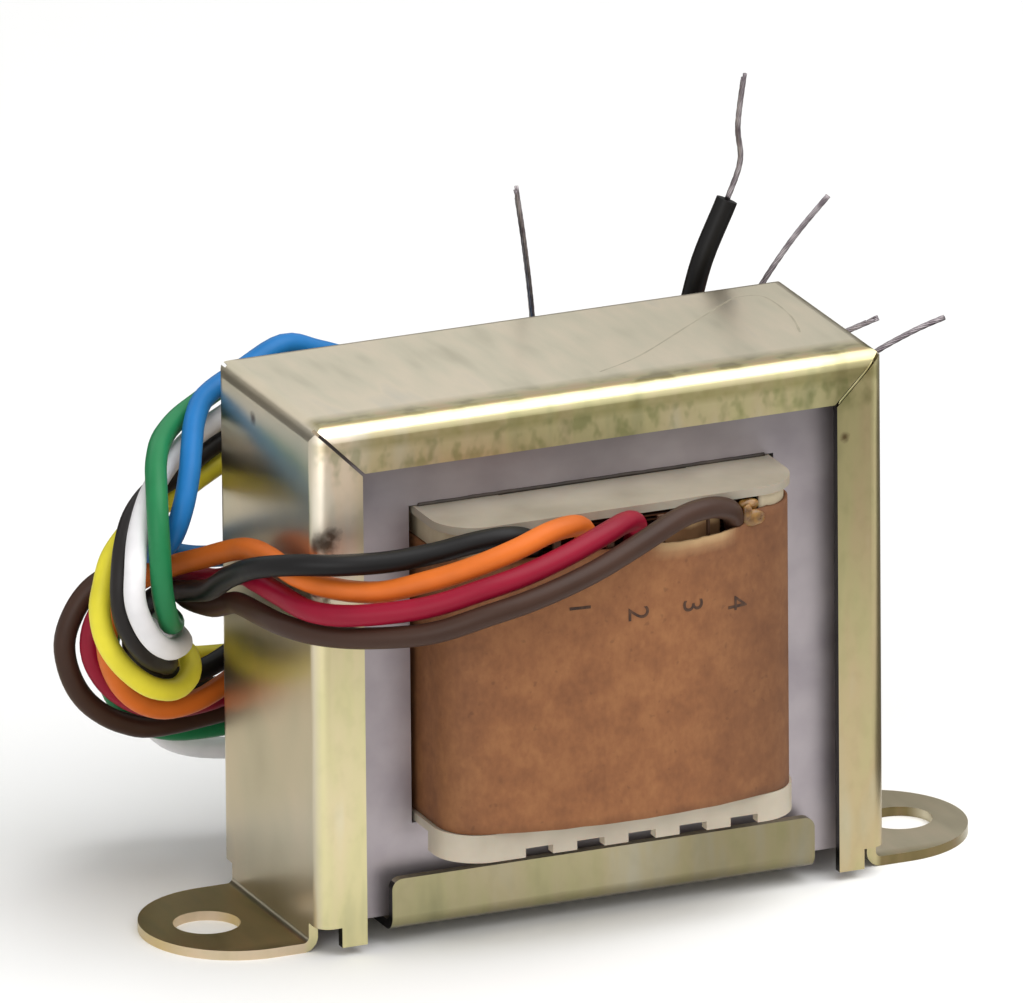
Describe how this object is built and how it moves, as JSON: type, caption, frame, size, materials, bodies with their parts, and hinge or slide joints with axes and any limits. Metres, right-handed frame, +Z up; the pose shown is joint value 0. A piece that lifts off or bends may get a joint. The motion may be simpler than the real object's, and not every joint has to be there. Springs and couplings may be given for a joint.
{
  "type": "line transformer",
  "caption": "Small audio line transformer: laminated core in a folded plated steel frame with drilled ears, paper-wrapped coil on a moulded former, coloured leads with tinned ends.",
  "frame": {"origin": "centre of the footprint on the resting surface, under the ears", "axes": "X along the width from ear to ear, Y from front to back, Z up"},
  "size_m": [0.0802, 0.0467, 0.0608],
  "materials": {
    "plated_steel": "yellow passivated zinc",
    "core_steel": "matte sheared sheet",
    "former_nylon": "moulded",
    "enamelled_wire": "enamelled copper",
    "cream_paper": "matte",
    "brown_paper": "matte kraft",
    "tinned_copper": "tinned",
    "black_pvc": "satin",
    "orange_pvc": "satin",
    "red_pvc": "satin",
    "brown_pvc": "satin",
    "blue_pvc": "satin",
    "green_pvc": "satin",
    "white_pvc": "satin",
    "yellow_pvc": "satin"
  },
  "bodies": {
    "root": {"channel_frame": "plated_steel", "bottom_keeper": "plated_steel", "e_laminations": "core_steel", "i_laminations": "core_steel", "coil_former": "former_nylon", "primary_winding": "enamelled_wire", "interlayer_insulation": "cream_paper", "secondary_winding": "enamelled_wire", "outer_insulation": "cream_paper", "cover_paper": "brown_paper", "front_solder_joints": "tinned_copper", "rear_solder_joints": "tinned_copper", "black_lead": "black_pvc", "black_lead_end": "tinned_copper", "orange_lead": "orange_pvc", "orange_lead_end": "tinned_copper", "red_lead": "red_pvc", "red_lead_end": "tinned_copper", "brown_lead": "brown_pvc", "brown_lead_end": "tinned_copper", "blue_lead": "blue_pvc", "blue_lead_end": "tinned_copper", "green_lead": "green_pvc", "green_lead_end": "tinned_copper", "white_lead": "white_pvc", "white_lead_end": "tinned_copper", "rear_black_lead": "black_pvc", "rear_black_lead_end": "tinned_copper", "yellow_lead": "yellow_pvc", "yellow_lead_end": "tinned_copper"}
  },
  "joints": []
}
